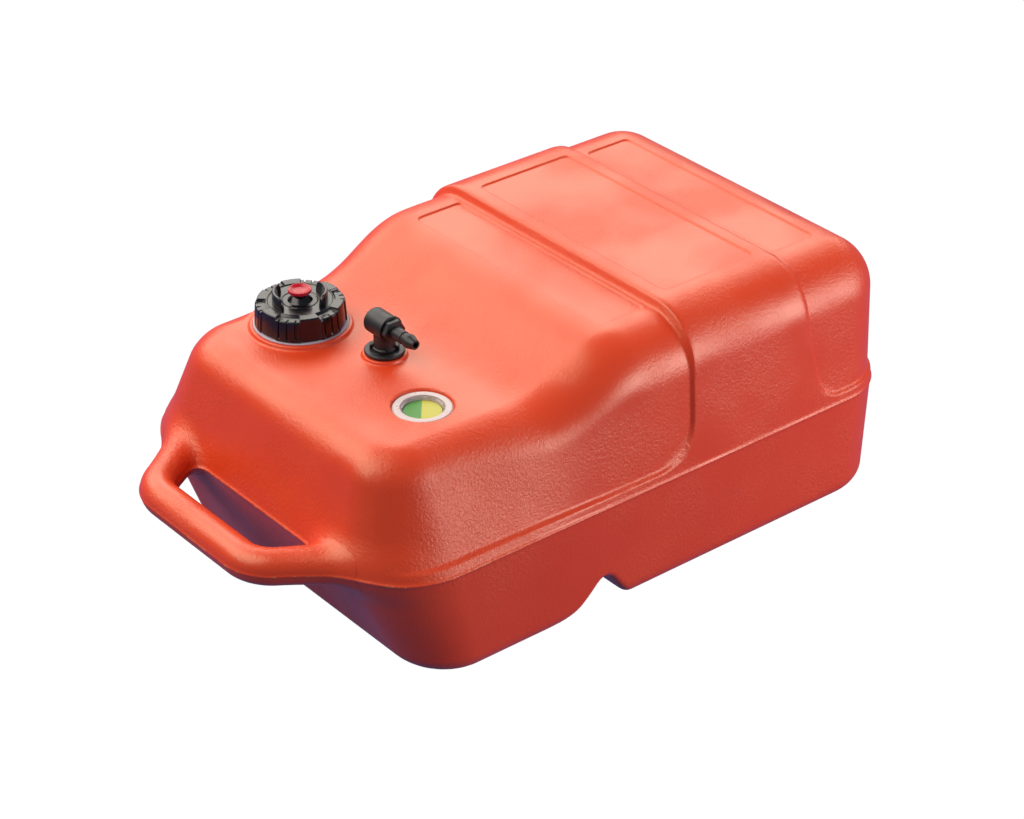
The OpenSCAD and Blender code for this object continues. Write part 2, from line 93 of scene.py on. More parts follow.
def add(tree, kind, links=None, **settings):
    """One node: settings are its own attributes, links gives each input a value or a socket."""
    made = tree.nodes.new(kind)
    for key, value in settings.items():
        setattr(made, key, value)
    for key, value in (links or {}).items():
        if isinstance(value, bpy.types.NodeSocket):
            tree.links.new(value, made.inputs[key])
        else:
            made.inputs[key].default_value = value
    return made


def blend(tree, factor, first, second):
    """Socket with a mix of two colours, each of them a value or a socket."""
    return add(tree, "ShaderNodeMix", {0: factor, 6: first, 7: second},
               data_type="RGBA").outputs[2]


def new_material(name, code, roughness, **sockets):
    """Principled shader with plain values; returns the material, its tree and the shader."""
    made = bpy.data.materials.new(name)
    made.use_nodes = True
    tree = made.node_tree
    shader = tree.nodes["Principled BSDF"]
    shader.inputs["Base Color"].default_value = colour(code)
    shader.inputs["Roughness"].default_value = roughness
    for key, value in sockets.items():
        shader.inputs[key.replace("_", " ")].default_value = value
    return made, tree, shader


def size_of(mm):
    """Noise scale, per metre, for a pattern whose grains are that many millimetres."""
    return 1 / (mm * MM)


# how far apart a moulded plastic's colour drifts and its gloss wanders
DRIFT_MM, WEAR_MM = 26, 8


def moulded(name, code, dark, roughness, grain_mm, relief_mm, **sockets):
    """A moulded plastic: slight colour drift, a fine grain in the relief and a gloss that
    wanders."""
    made, tree, shader = new_material(name, code, roughness, **sockets)
    place = add(tree, "ShaderNodeTexCoord").outputs["Object"]
    grain = add(tree, "ShaderNodeTexNoise", {"Vector": place, "Scale": size_of(grain_mm),
                                             "Detail": 3.0, "Roughness": 0.6})
    drift = add(tree, "ShaderNodeTexNoise", {"Vector": place, "Scale": size_of(DRIFT_MM),
                                             "Detail": 2.0})
    mixed = blend(tree, drift.outputs["Fac"], colour(dark), colour(code))
    tree.links.new(mixed, shader.inputs["Base Color"])
    wear = add(tree, "ShaderNodeTexNoise", {"Vector": place, "Scale": size_of(WEAR_MM),
                                            "Detail": 2.0})
    gloss = add(tree, "ShaderNodeMapRange", {"Value": wear.outputs["Fac"], "From Min": 0.3,
                                             "From Max": 0.7, "To Min": roughness - 0.03,
                                             "To Max": roughness + 0.05})
    tree.links.new(gloss.outputs["Result"], shader.inputs["Roughness"])
    bump = add(tree, "ShaderNodeBump", {"Height": grain.outputs["Fac"], "Strength": 1.0,
                                        "Distance": relief_mm * MM})
    tree.links.new(bump.outputs["Normal"], shader.inputs["Normal"])
    return made


def tank_material():
    """Blow-moulded high-density polyethylene, pigmented orange-red. It is waxy and
    half glossy, and its mould leaves a leathery grain that is stronger in patches.
    Where the two mould halves meet, at the parting line, a little pale flash shows."""
    made, tree, shader = new_material("orange_polyethylene", "#E4492C", 0.4,
                                      Specular_IOR_Level=0.95,
                                      Specular_Tint=colour("#FFEFD2"))
    place = add(tree, "ShaderNodeTexCoord").outputs["Object"]
    # leathery grain: 2.7 mm wrinkles with finer detail on them
    grain = add(tree, "ShaderNodeTexNoise", {"Vector": place, "Scale": size_of(2.7), "Detail": 3.0,
                                             "Roughness": 0.62, "Distortion": 0.35})
    # where the grain is strong: patches some 95 mm across
    patch = add(tree, "ShaderNodeTexNoise", {"Vector": place, "Scale": size_of(95), "Detail": 2.0})
    patch = add(tree, "ShaderNodeMapRange", {"Value": patch.outputs["Fac"], "From Min": 0.38,
                                             "From Max": 0.62, "To Min": 0.22, "To Max": 1.0})
    height = add(tree, "ShaderNodeMath", {0: grain.outputs["Fac"], 1: patch.outputs["Result"]},
                 operation="MULTIPLY")
    # slow waves of the moulded wall, 42 mm long
    wave = add(tree, "ShaderNodeTexNoise", {"Vector": place, "Scale": size_of(42), "Detail": 1.0})
    wave_bump = add(tree, "ShaderNodeBump", {"Height": wave.outputs["Fac"], "Strength": 1.0,
                                             "Distance": 0.4 * MM})
    bump = add(tree, "ShaderNodeBump", {"Height": height.outputs[0], "Strength": 1.0,
                                        "Distance": 0.8 * MM,
                                        "Normal": wave_bump.outputs["Normal"]})
    tree.links.new(bump.outputs["Normal"], shader.inputs["Normal"])
    # pigment drift between two reds
    drift = add(tree, "ShaderNodeTexNoise", {"Vector": place, "Scale": size_of(60), "Detail": 3.0})
    base = blend(tree, drift.outputs["Fac"], colour("#DF3B17"), colour("#EA4A1F"))
    # pale flash: specks along the parting line near the handle
    parts = add(tree, "ShaderNodeSeparateXYZ", {"Vector": place})
    off_line = add(tree, "ShaderNodeMath", {0: parts.outputs["Z"], 1: (PART_Z + 0.2) * MM},
                   operation="SUBTRACT")
    near = add(tree, "ShaderNodeMath", {0: off_line.outputs[0]}, operation="ABSOLUTE")
    near = add(tree, "ShaderNodeMapRange", {"Value": near.outputs[0], "From Min": 0.3 * MM,
                                            "From Max": 0.8 * MM, "To Min": 0.6, "To Max": 0.0})
    front = add(tree, "ShaderNodeMapRange", {"Value": parts.outputs["X"], "From Min": -0.20,
                                             "From Max": -0.10, "To Min": 1.0, "To Max": 0.0})
    speck = add(tree, "ShaderNodeTexNoise", {"Vector": place, "Scale": size_of(9), "Detail": 4.0,
                                             "Roughness": 0.7})
    speck = add(tree, "ShaderNodeMapRange", {"Value": speck.outputs["Fac"], "From Min": 0.52,
                                             "From Max": 0.62})
    flash = add(tree, "ShaderNodeMath", {0: near.outputs["Result"], 1: front.outputs["Result"]},
                operation="MULTIPLY")
    flash = add(tree, "ShaderNodeMath", {0: flash.outputs[0], 1: speck.outputs["Result"]},
                operation="MULTIPLY")
    skin = blend(tree, flash.outputs[0], base, colour("#E8A56B"))
    tree.links.new(skin, shader.inputs["Base Color"])
    gloss = add(tree, "ShaderNodeMapRange", {"Value": patch.outputs["Result"], "From Min": 0.2,
                                             "From Max": 1.0, "To Min": 0.32, "To Max": 0.42})
    tree.links.new(gloss.outputs["Result"], shader.inputs["Roughness"])
    return made


tank_red = tank_material()
# polypropylene, injection moulded and polished in the tool: hard black gloss
cap_black = moulded("black_polypropylene", "#15151A", "#111115", 0.21, 2.2, 0.008,
                    Specular_IOR_Level=0.6)
# the same, with the tool's spark-eroded matt finish
nylon_black = moulded("black_nylon", "#222224", "#1B1B1D", 0.42, 0.9, 0.03)
knob_red = moulded("red_polypropylene", "#C30C26", "#B80A22", 0.3, 2.4, 0.008)
# unpigmented polyethylene: milky, with a cold cast in the shade
neck_white = moulded("natural_polyethylene", "#D3C6D3", "#C8BCC9", 0.4, 1.5, 0.03)
seal_black = moulded("nitrile_rubber", "#161616", "#101010", 0.6, 0.7, 0.04)
mesh_black = moulded("matt_black_nylon", "#202022", "#19191B", 0.6, 0.6, 0.06)
float_black = moulded("nitrile_foam", "#1A1A1A", "#121212", 0.9, 0.5, 0.15)
# polystyrene ring, frosted by its tool: it lets a little light through, and the pink in its colour
# is painted red light from the tank seen through it
frosted = moulded("frosted_polystyrene", "#EFDEDC", "#E4D0CE", 0.3, 1.2, 0.01,
                  Transmission_Weight=0.2, IOR=1.4)
# a thin clear window: it shows the dial as it is, with a trace of gloss
window_clear = moulded("clear_acrylic", "#3A3A3C", "#343436", 0.07, 3.0, 0.005,
                       IOR=1.49, Alpha=0.06)


def strip_material():
    """Twisted aluminium strip: rolled, so faint lines run along it, 0.3 mm apart."""
    made, tree, shader = new_material("rolled_aluminium", "#C9C8C4", 0.35, Metallic=1.0)
    place = add(tree, "ShaderNodeTexCoord").outputs["Object"]
    long = add(tree, "ShaderNodeMapping", {"Vector": place, "Scale": (1.0, 1.0, 0.04)})
    line = add(tree, "ShaderNodeTexNoise", {"Vector": long.outputs["Vector"],
                                            "Scale": size_of(0.3)})
    bump = add(tree, "ShaderNodeBump", {"Height": line.outputs["Fac"], "Distance": 0.01 * MM})
    tree.links.new(bump.outputs["Normal"], shader.inputs["Normal"])
    return made


def dial_material():
    """Printed disc: green on one half and yellow on the other, which blend over half a millimetre
    where the inks meet, under a semi-gloss varnish."""
    made, tree, shader = new_material("printed_dial", "#C9CC2B", 0.35)
    place = add(tree, "ShaderNodeTexCoord").outputs["Object"]
    centred = add(tree, "ShaderNodeMapping", {"Vector": place}, vector_type="TEXTURE")
    centred.inputs["Location"].default_value = (GAUGE[0] * MM, GAUGE[1] * MM, 0)
    centred.inputs["Rotation"].default_value = (0, 0, math.radians(-39))
    parts = add(tree, "ShaderNodeSeparateXYZ", {"Vector": centred.outputs["Vector"]})
    half = add(tree, "ShaderNodeMapRange", {"Value": parts.outputs["X"], "From Min": -1.2 * MM,
                                            "From Max": -0.7 * MM})
    ink = add(tree, "ShaderNodeTexNoise", {"Vector": place, "Scale": size_of(1.1), "Detail": 2.0})
    green = blend(tree, ink.outputs["Fac"], colour("#479A38"), colour("#58A83E"))
    yellow = blend(tree, ink.outputs["Fac"], colour("#D2CC22"), colour("#DED830"))
    inks = blend(tree, half.outputs["Result"], green, yellow)
    tree.links.new(inks, shader.inputs["Base Color"])
    bump = add(tree, "ShaderNodeBump", {"Height": ink.outputs["Fac"], "Distance": 0.01 * MM})
    tree.links.new(bump.outputs["Normal"], shader.inputs["Normal"])
    return made


# ---------------------------------------------------------------- surfaces


def grid_faces(nu, nv, close_u=False, close_v=False):
    """Quads of a grid of nu by nv points, which joins up in u or in v if asked."""
    u = np.arange(nu if close_u else nu - 1)
    v = np.arange(nv if close_v else nv - 1)
    u, v = np.meshgrid(u, v, indexing="ij")
    un, vn = (u + 1) % nu, (v + 1) % nv
    return np.stack([u * nv + v, un * nv + v, un * nv + vn, u * nv + vn], -1).reshape(-1, 4)


def join(parts):
    """Several (points, faces) pairs as one."""
    points, faces, count = [], [], 0
    for p, f in parts:
        p = np.asarray(p, float).reshape(-1, 3)
        points.append(p)
        faces.append(np.asarray(f) + count)
        count += len(p)
    return np.vstack(points), np.vstack(faces)


def piece(name, parts, body, material, nodes):
    """A mesh object from (points, faces) pairs: it rides on a body and stands for nodes."""
    points, faces = join(parts)
    data = bpy.data.meshes.new(name)
    data.vertices.add(len(points))
    data.vertices.foreach_set("co", (points * MM).astype(np.float32).ravel())
    # a quad with a corner named twice is a triangle
    corner = faces != np.roll(faces, 1, axis=1)
    sides = corner.sum(1)
    loops = faces[corner]
    data.loops.add(len(loops))
    data.loops.foreach_set("vertex_index", loops.astype(np.int32))
    data.polygons.add(len(faces))
    data.polygons.foreach_set("loop_start", (np.cumsum(sides) - sides).astype(np.int32))
    data.update(calc_edges=True)
    data.validate()
    merge(data)
    data.shade_smooth()
    made = bpy.data.objects.new(name, data)
    bpy.context.scene.collection.objects.link(made)
    data.materials.append(material)
    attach(made, body)
    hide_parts(*nodes)
    return made


def merge(data):
    """Joins points that lie on each other, as at a pole."""
    bm = bmesh.new()
    bm.from_mesh(data)
    bmesh.ops.remove_doubles(bm, verts=bm.verts, dist=1e-7)
    bm.to_mesh(data)
    bm.free()


def rounded(corners, steps=6):
    """Outline through [a, b, radius] corners: each corner is an arc of that radius."""
    corners = [tuple(c) + (0,) * (3 - len(c)) for c in corners]
    out = [np.array([corners[0][:2]], float)]
    for before, here, after in zip(corners, corners[1:], corners[2:]):
        p, q, s = (np.array(c[:2], float) for c in (before, here, after))
        if here[2] <= 0:
            out.append(q[None])
            continue
        d0, d1 = (p - q) / np.linalg.norm(p - q), (s - q) / np.linalg.norm(s - q)
        half = math.acos(max(-1, min(1, float(d0 @ d1)))) / 2
        if half > 1.55:
            out.append(q[None])
            continue
        reach = here[2] / math.tan(half)
        reach = min(reach, 0.49 * np.linalg.norm(p - q), 0.49 * np.linalg.norm(s - q))
        radius = reach * math.tan(half)
        centre = q + (d0 + d1) / np.linalg.norm(d0 + d1) * radius / math.sin(half)
        a, b = q + d0 * reach - centre, q + d1 * reach - centre
        sweep = math.pi - 2 * half
        t = np.linspace(0, 1, steps + 1)[:, None]
        arc = (np.sin((1 - t) * sweep) * a + np.sin(t * sweep) * b) / math.sin(sweep)
        out.append(centre + arc)
    out.append(np.array([corners[-1][:2]], float))
    return np.vstack(out)


def turned(corners, at, n):
    """Surface of revolution: the outline (radius, height) carried round a vertical axis."""
    outline = rounded(corners)
    a = np.linspace(0, TAU, n, endpoint=False)[:, None]
    r, z = outline[None, :, 0], outline[None, :, 1] + 0 * a
    points = np.stack([at[0] + r * np.cos(a), at[1] + r * np.sin(a), z], -1)
    return points, grid_faces(n, len(outline), close_u=True)


def along_y(corners, at, n, radius=None):
    """The same round an axis along Y: the outline is (radius, y). radius(angle) may scale it."""
    outline = rounded(corners)
    a = np.linspace(0, TAU, n, endpoint=False)[:, None]
    r = outline[None, :, 0] * (radius(a) if radius else 1)
    points = np.stack([at[0] + r * np.sin(a), at[1] + outline[None, :, 1] + 0 * a,
                       at[2] + r * np.cos(a)], -1)
    return points, grid_faces(n, len(outline), close_u=True)


# ---------------------------------------------------------------- tank body
HALF_L, HALF_W, DECK_Z, BODY_TOP = 301.0, 198.5, 213.0, 261.0
TOP_R, DECK_R, PLAN_R, REAR_R, FOOT_R = 51.0, 27.0, 73.0, 64.5, 18.5
STEP_F, STEP_R, BELT_Z = 3.5, 3.2, PART_Z + 10
BAND = (40.0, 182.0)
# foot and slope of the ramp; the band's rear edge leans back below LEAN_TOP
RAMP_X, RAMP_K = -90.0, 0.78
LEAN, LEAN_TOP = 0.22, 205.0
# strap channel: where its curved front flank and its straight rear flank start, how steep
# each is, and its height before its top is rounded
CHANNEL = (-128.0, -29.0)
FRONT_K, REAR_K, CHANNEL_H = 0.0094, 1.35, 42.0
GRIP_X, GRIP_R, GRIP_HALF, GRIP_BEND, GRIP_ANGLE, ARM = -358.0, 16.5, 58.0, 37.0, 56.0, 74.0
# the handle's mesh starts this share along the arm, ROOT_Y off the middle
ROOT, ROOT_Y = 0.645, 118.0
# the fillet between handle and body, how high the body's own mesh follows it, and where
# the two meshes cross: each lies SINK below the other beyond that height
FILLET, FOOT_H, CROSS_H, SINK = 18.0, 7.0, 3.6, 0.3
# sunk panels on top: [x0, x1], all as wide as PANEL_Y to either side
PANELS = ((-18.7, 33.5), (57.8, 165.6), (191.3, 242.9))
PANEL_Y, PANEL_DEPTH = 132.0, 1.5


def round_2(a, b, r):
    return np.minimum(-r, np.maximum(a, b)) + np.hypot(np.maximum(a + r, 0), np.maximum(b + r, 0))


def round_3(a, b, c, r):
    return np.minimum(-r, np.maximum(np.maximum(a, b), c)) + np.sqrt(
        np.maximum(a + r, 0) ** 2 + np.maximum(b + r, 0) ** 2 + np.maximum(c + r, 0) ** 2)


def soft_min(a, b, k):
    return np.minimum(a, b) - np.maximum(k - np.abs(a - b), 0) ** 2 / (4 * k)


def ease(a, b, x):
    t = np.clip((x - a) / (b - a), 0, 1)
    return t * t * (3 - 2 * t)


def top_line(x):
    """Height of the unrecessed top: low deck, ramp, and the band that steps up and down."""
    deck = DECK_Z + STEP_F
    ramp = deck + (x - RAMP_X) * RAMP_K
    high = BODY_TOP - 5.4 * (1 - ease(BAND[0] - 4, BAND[0] + 4, x)) - 2.7 * ease(
        BAND[1] - 4, BAND[1] + 4, x)
    return soft_min(-soft_min(-deck, -ramp, 30), high, 24)


def recess(x, z):
    """How far the skin stands back in front of the band and behind it, above the belt."""
    front = round_2(x - BAND[0], BELT_Z - z, 40)
    rear = round_2(BAND[1] + np.maximum(0, LEAN_TOP - z) * LEAN - x, BELT_Z - z, 25)
    fade = ease(-HALF_L + 13, -HALF_L + 51, x)
    return STEP_F * (1 - ease(-2.2, 2.2, front)) * fade + STEP_R * (1 - ease(-2.2, 2.2, rear))


def panels(x, y, z):
    """Depth of the sunk panels: rounded rectangles seen from above, with steep short edges."""
    depth = 0
    for x0, x1 in PANELS:
        edge = round_2(np.abs(x - (x0 + x1) / 2) - (x1 - x0) / 2, np.abs(y) - PANEL_Y, 5)
        depth = depth + 1 - ease(-0.7, 0.7, edge)
    return PANEL_DEPTH * depth * ease(215, 225, z)


def bead(z, height=1.2):
    """The parting line's bead: a low ridge 3 mm wide."""
    return height * np.exp(-((z - PART_Z) / 1.3) ** 2)


def body_field(x, y, z):
    """Signed field of the tank's skin, negative inside: leaning walls and a stepped top,
    joined with radii that tighten towards the front, less the arched strap channel."""
    up, down = np.maximum(z - PART_Z, 0), np.maximum(PART_Z - z, 0)
    fore = 1 - ease(-230, 10, x)
    side = np.abs(y) - HALF_W + up * (0.06 + 0.36 * fore) + down * 0.024
    front = -x - HALF_L + up * 0.26 + down * 0.42
    rear = x - HALF_L + up * 0.04 + down * 0.03
    aft = ease(0, 150, x)
    corner = PLAN_R + (REAR_R - PLAN_R) * aft - up * (0.27 * fore + 0.1 * aft)
    plan = round_3(side, front, rear, corner - down * 0.2 * (1 - aft))
    top = round_2(plan, z - top_line(x), TOP_R + (DECK_R - TOP_R) * fore)
    along = x - CHANNEL[0]
    rise = np.maximum(along, 0) * FRONT_K
    channel = round_3((z - rise * along) / np.hypot(1, 2 * rise),
                      (z + (x - CHANNEL[1]) * REAR_K) / math.hypot(1, REAR_K),
                      z - CHANNEL_H, 10)
    solid = round_2(top, -z, FOOT_R)
    return -soft_min(-solid - recess(x, z) - panels(x, y, z) + bead(z), channel, 6)


def cast(field, origin, direction, reach=260.0):
    """First point of the field's surface on each ray, by halving."""
    low = np.zeros(origin.shape[:-1])
    high = np.full(origin.shape[:-1], float(reach))
    for _ in range(24):
        middle = (low + high) / 2
        at = origin + direction * middle[..., None]
        outside = field(at[..., 0], at[..., 1], at[..., 2]) > 0
        high = np.where(outside, middle, high)
        low = np.where(outside, low, middle)
    return origin + direction * ((low + high) / 2)[..., None]


def stations(low, high, coarse, spots, fine, width, also=()):
    """Positions from low to high, `coarse` apart, and `fine` apart near each spot. `also`
    adds (spot, fine, width) of its own."""
    t = np.linspace(low, high, 6000)
    density = np.full_like(t, 1 / coarse)
    for spot, gap, reach in [(spot, fine, width) for spot in spots] + list(also):
        density = np.maximum(density, np.exp(-((t - spot) / reach) ** 4) / gap)
    total = np.concatenate([[0], np.cumsum((density[1:] + density[:-1]) / 2 * np.diff(t))])
    return np.interp(np.linspace(0, total[-1], int(round(total[-1])) + 1), total, t)


# the box from which the skin is measured, and where the fine rings on its sides end
CORE_X, CORE_Y, CORE_Z = (-228.0, 247.0), 135.0, 45.0
WALL_END = 126.0


def core_top(x):
    return 130 + 52 * ease(-110, 10, x)


def body_skin():
    """The skin, measured outwards from a box inside it: straight down under the box,
    straight up over it, and in rings round its sides, which fan out at its edges."""
    lines = [x for pair in PANELS for x in pair]
    xs = stations(*CORE_X, 4.0, lines + list(BAND), 0.75, 3.0, [(-78, 1.9, 56)])
    ys = stations(-CORE_Y, CORE_Y, 6.0, (-PANEL_Y, PANEL_Y), 0.8, 2.6,
                  [(-ROOT_Y, 2.6, 22), (ROOT_Y, 2.6, 22)])
    nx, ny = len(xs), len(ys)
    fan = np.linspace(0, 90, 19)[1:-1]
    ix, iy = np.arange(nx), np.arange(ny)
    one = np.ones_like(fan)
    columns = np.vstack([np.column_stack(c) for c in (
        (xs, -CORE_Y + 0 * xs, 270 + 0 * xs, ix * ny),
        (CORE_X[1] * one, -CORE_Y * one, 270 + fan, (nx - 1) * ny * one),
        (CORE_X[1] + 0 * ys, ys, 360 + 0 * ys, (nx - 1) * ny + iy),
        (CORE_X[1] * one, CORE_Y * one, fan, (nx * ny - 1) * one),
        (xs[::-1], CORE_Y + 0 * xs, 90 + 0 * xs, ix[::-1] * ny + ny - 1),
        (CORE_X[0] * one, CORE_Y * one, 90 + fan, (ny - 1) * one),
        (CORE_X[0] + 0 * ys, ys[::-1], 180 + 0 * ys, iy[::-1]),
        (CORE_X[0] * one, -CORE_Y * one, 180 + fan, 0 * one))])
    cx, cy, angle, foot = columns.T
    foot = foot.astype(int)
    out = np.stack([np.cos(np.radians(angle)), np.sin(np.radians(angle)), 0 * angle], -1)
    n = len(columns)

    def ring(z, lift):
        """Points where the rays at elevation `lift` from height z of each column come out."""
        lean = LEAN * np.clip(LEAN_TOP - z, 0, LEAN_TOP - BELT_Z) * np.exp(
            -((cx - BAND[1]) / 30) ** 2)
        onside = np.abs(np.sin(np.radians(angle))) > 0.999
        start = np.stack([cx + lean * onside, cy, z + 0 * cx], -1)
        e = math.radians(lift)
        return cast(skin_field, start, out * math.cos(e) + np.array([0, 0, math.sin(e)]))

    low = stations(2.0, 78, 4.5, (58,), 2.6, 9, [(20, 1.5, 24)])[::-1]
    walls = stations(CORE_Z, WALL_END, 3.4, (PART_Z, BELT_Z), 0.7, 2.8)
    tall = np.linspace(0, 1, 11)[1:]
    high = np.linspace(0, 90, 31)[1:-1]
    rings = [ring(CORE_Z, -e) for e in low]
    rings += [ring(z, 0) for z in walls]
    rings += [ring(WALL_END + f * (core_top(cx) - WALL_END), 0) for f in tall]
    rings += [ring(core_top(cx), e) for e in high]
    gx, gy = np.meshgrid(xs, ys, indexing="ij")
    floor = cast(body_field, np.stack([gx, gy, 0 * gx + CORE_Z], -1), np.array([0.0, 0, -1]))
    lid = cast(body_field, np.stack([gx, gy, core_top(gx)], -1), np.array([0.0, 0, 1]))
    points = np.vstack([floor.reshape(-1, 3)] + rings + [lid.reshape(-1, 3)])
    count = nx * ny
    last = count + len(rings) * n
    flat = grid_faces(nx, ny)
    round_faces = grid_faces(len(rings), n, close_v=True)[:, ::-1] + count
    m = np.arange(n)
    q = (m + 1) % n
    hem_low = np.column_stack([foot[m], foot[q], count + q, count + m])
    top_row = last - n
    hem_high = np.column_stack([top_row + m, top_row + q, last + foot[q], last + foot[m]])
    faces = np.vstack([flat[:, ::-1], round_faces, hem_low, hem_high, flat + last])
    points[:, 0] += SHIFT
    # open the deck under the filler's collar, the outlet's boss and the gauge's recess
    middle = points[faces].mean(1)
    keep = np.ones(len(faces), bool)
    for (hx, hy), radius in ((CAP, 43.0), (OUTLET, 17.0), (GAUGE, 30.0)):
        inside = np.hypot(middle[:, 0] - hx, middle[:, 1] - hy) < radius
        keep &= ~(inside & (middle[:, 2] > 180))
    return points, faces[keep]


def grip_line():
    """Middle line of the handle in plan, from one corner of the body to the other: a straight
    bar, two bends and two straight arms, which stop in the fillet at the wall."""
    a = math.radians(GRIP_ANGLE)
    ex, ey = GRIP_X + GRIP_BEND * (1 - math.cos(a)), GRIP_HALF + GRIP_BEND * math.sin(a)
    arm = np.linspace(ROOT, 0, 20, endpoint=False) * ARM
    bend = np.linspace(a, 0, 22, endpoint=False)
    bar = np.linspace(GRIP_HALF, -GRIP_HALF, 24)
    half = np.vstack([
        np.column_stack([ex + arm * math.sin(a), ey + arm * math.cos(a)]),
        np.column_stack([GRIP_X + GRIP_BEND * (1 - np.cos(bend)),
                         GRIP_HALF + GRIP_BEND * np.sin(bend)])])
    return np.vstack([half, np.column_stack([0 * bar + GRIP_X, bar]), (half * [1, -1])[::-1]])


def grip_field(x, y, z):
    """The handle's tube: the distance to the bar, the bends and the arms, in the half where
    y is positive."""
    y = np.abs(y)
    a = math.radians(GRIP_ANGLE)
    cx, cy = GRIP_X + GRIP_BEND, GRIP_HALF
    turn = np.clip(np.arctan2(y - cy, cx - x), 0, a)
    bx, by = cx - GRIP_BEND * np.cos(turn), cy + GRIP_BEND * np.sin(turn)
    ex, ey = cx - GRIP_BEND * math.cos(a), cy + GRIP_BEND * math.sin(a)
    t = np.clip(((x - ex) * math.sin(a) + (y - ey) * math.cos(a)) / ARM, 0, 1.4)
    ax, ay = ex + t * ARM * math.sin(a), ey + t * ARM * math.cos(a)
    flat = np.minimum(np.hypot(x - bx, y - by), np.hypot(x - ax, y - ay))
    flat = np.where(y < cy, np.minimum(flat, np.abs(x - GRIP_X)), flat)
    wide, tall = GRIP_R + 7 * t ** 2, GRIP_R + 3 * t ** 2
    return (np.hypot(flat / wide, (z - PART_Z) / tall) - 1) * tall - bead(z, 0.7)


def skin_field(x, y, z):
    """The body with the foot of the handle's fillet on it, cut off inside the handle."""
    body = body_field(x, y, z)
    sink = SINK * ease(CROSS_H - 0.6, CROSS_H + 1.4, body)
    return np.maximum(soft_min(body, grip_field(x, y, z), FILLET) + sink, body - FOOT_H)


def handle_field(x, y, z):
    """The handle with its fillet, whose foot dips under the body's skin."""
    body = body_field(x, y, z)
    sink = SINK * (1 - ease(CROSS_H - 1.4, CROSS_H + 0.6, body))
    return soft_min(body, grip_field(x, y, z), FILLET) + sink


def handle_skin():
    """Rings round the handle's middle line. Towards each root they turn from square across
    the line to flat along the wall, and the last one hugs it."""
    line = grip_line()
    theta = stations(0, 360, 7.0, (0, 180, 360), 1.6, 9)[:-1]
    around = np.radians(theta)
    cos, sin = np.cos(around)[:, None], np.sin(around)[:, None]
    ahead = np.gradient(line, axis=0)
    ahead /= np.linalg.norm(ahead, axis=1)[:, None]
    back = np.where(sin > 0, 0.26, 0.42) * np.abs(sin) * [1.0, 0, 0]
    rings = []
    count = len(line)
    for k in range(count):
        near = ease(0, 1, max(0, 1 - min(k, count - 1 - k) / 24))
        sense = 1 if k < count / 2 else -1
        forward = ahead[k] * (1 - near) + sense * np.array([-1.0, 0.0]) * near
        forward /= np.linalg.norm(forward)
        ray = cos * [-forward[1], forward[0], 0] + sin * [0, 0, 1.0] + back * near
        start = np.broadcast_to([*line[k], PART_Z], ray.shape)
        rings.append(cast(handle_field, start, ray, 60.0))
    points = np.array(rings)
    points[..., 0] += SHIFT
    return points, grid_faces(len(rings), len(theta), close_v=True)


COLLAR_Z, RECESS_Z, BOSS_Z = 217.0, 207.5, 216.3
DOWN = 0.03
collar = turned([[36, COLLAR_Z - 0.3], [43.7, COLLAR_Z - 0.3, 0.3], [43.9, COLLAR_Z, 0.2],
                 [46.4, COLLAR_Z, 2.2], [47.6, DECK_Z, 2.6], [53, DECK_Z - DOWN]], CAP, 160)
boss = turned([[11.6, BOSS_Z], [20, BOSS_Z, 1.2], [21, DECK_Z, 1.6], [25, DECK_Z - DOWN]],
              OUTLET, 96)
well = turned([[20.6, RECESS_Z - 3], [20.6, RECESS_Z, 0.4], [27.5, RECESS_Z, 0.6],
               [27.6, DECK_Z, 2.2], [34, DECK_Z - DOWN]], GAUGE, 128)
piece("tank_body", [body_skin(), collar, boss, well], "tank", tank_red,
      ["tank_shell"])
piece("carrying_handle", [handle_skin()], "tank", tank_red, ["tank_shell"])

# ---------------------------------------------------------------- filler cap
CAP_R, SKIRT_Z, CAP_TOP, DRAFT = 42.2, 218.5, 240.7, 1.6
SHELF, SHELF_R = 2.2, CAP_R - DRAFT - 9.0
CONE_Z = CAP_TOP + 4.3
# the middle of the first lobe, in degrees
LOBE_AT = 37.4
# finger ridges: height over the top, radius, and half the angle that each spans
FIN_UP, FIN_R, FIN_HALF = 9.5, 23.5, 47


